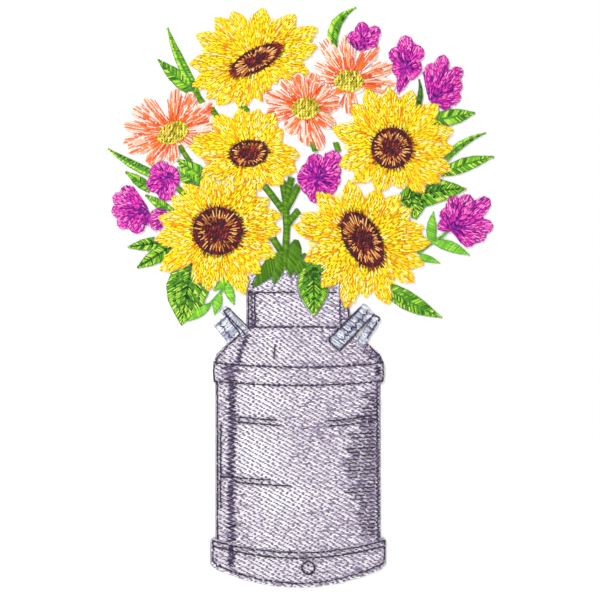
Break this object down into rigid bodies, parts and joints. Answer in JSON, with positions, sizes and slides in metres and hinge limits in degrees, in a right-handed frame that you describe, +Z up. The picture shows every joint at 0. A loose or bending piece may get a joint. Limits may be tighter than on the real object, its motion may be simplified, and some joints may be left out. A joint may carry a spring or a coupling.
{
  "type": "embroidered applique motif",
  "caption": "Flat stitched applique of sunflowers, daisies and small blossoms in a milk churn: thread fills on white cloth over a cut-away backing.",
  "frame": {"origin": "middle of the motif's height and width, on its flat back", "axes": "+Z up the motif, -Y out of the stitched front, +Y out of the back, +X to the right as the front is seen"},
  "size_m": [0.1158, 0.0031, 0.172],
  "materials": {
    "yellow_thread": "lustrous embroidery thread, lemon yellow to amber",
    "brown_thread": "lustrous embroidery thread, dark maroon",
    "tan_thread": "lustrous embroidery thread, tan",
    "orange_thread": "lustrous embroidery thread, orange over pale peach",
    "olive_thread": "lustrous embroidery thread, olive yellow",
    "magenta_thread": "lustrous embroidery thread, pink to violet",
    "green_thread": "lustrous embroidery thread, leaf green",
    "dark_green_thread": "lustrous embroidery thread, dark green",
    "grey_thread": "lustrous embroidery thread, lilac grey",
    "outline_thread": "embroidery thread, dark purple running stitch",
    "ground_cloth": "white plain-weave cloth",
    "backing": "white non-woven cut-away backing",
    "bobbin_thread": "fine white bobbin thread"
  },
  "bodies": {
    "root": {"backing": "backing", "blade_left": "green_thread", "blade_right": "green_thread", "blade_top": "green_thread", "blade_under_blossom": "dark_green_thread", "blossom_left_lower": "magenta_thread", "blossom_left_outer": "magenta_thread", "blossom_left_upper": "magenta_thread", "blossom_middle": "magenta_thread", "blossom_right": "magenta_thread", "blossom_tall": "magenta_thread", "blossom_top": "magenta_thread", "blossom_upper_right": "magenta_thread", "bobbin_stitching": "bobbin_thread", "churn_band": "grey_thread", "churn_base": "grey_thread", "churn_body": "grey_thread", "churn_neck": "grey_thread", "churn_outline": "outline_thread", "churn_shoulder": "grey_thread", "daisy_left_centre": "olive_thread", "daisy_left_petals": "orange_thread", "daisy_middle_centre": "olive_thread", "daisy_middle_petals": "orange_thread", "daisy_right_centre": "olive_thread", "daisy_right_petals": "orange_thread", "ground_cloth": "ground_cloth", "handle_left": "grey_thread", "handle_right": "grey_thread", "leaf_by_daisy": "green_thread", "leaf_heart_left": "green_thread", "leaf_left_lower": "green_thread", "leaf_lower_right": "green_thread", "leaf_over_neck": "green_thread", "leaf_right_long": "green_thread", "leaf_right_upper": "green_thread", "leaf_right_veined": "green_thread", "leaf_top_left": "green_thread", "leaflet_by_blossom": "green_thread", "leaflet_left": "green_thread", "rivet_ring": "outline_thread", "sprig_left": "green_thread", "sprig_right": "green_thread", "stem_of_daisy": "dark_green_thread", "stems": "dark_green_thread", "sunflower_lower_left_disc": "brown_thread", "sunflower_lower_left_petals": "yellow_thread", "sunflower_lower_left_ring": "tan_thread", "sunflower_lower_right_disc": "brown_thread", "sunflower_lower_right_petals": "yellow_thread", "sunflower_lower_right_ring": "tan_thread", "sunflower_middle_disc": "brown_thread", "sunflower_middle_petals": "yellow_thread", "sunflower_middle_ring": "tan_thread", "sunflower_right_disc": "brown_thread", "sunflower_right_petals": "yellow_thread", "sunflower_right_ring": "tan_thread", "sunflower_top_disc": "brown_thread", "sunflower_top_petals": "yellow_thread", "sunflower_top_ring": "tan_thread"}
  },
  "joints": []
}
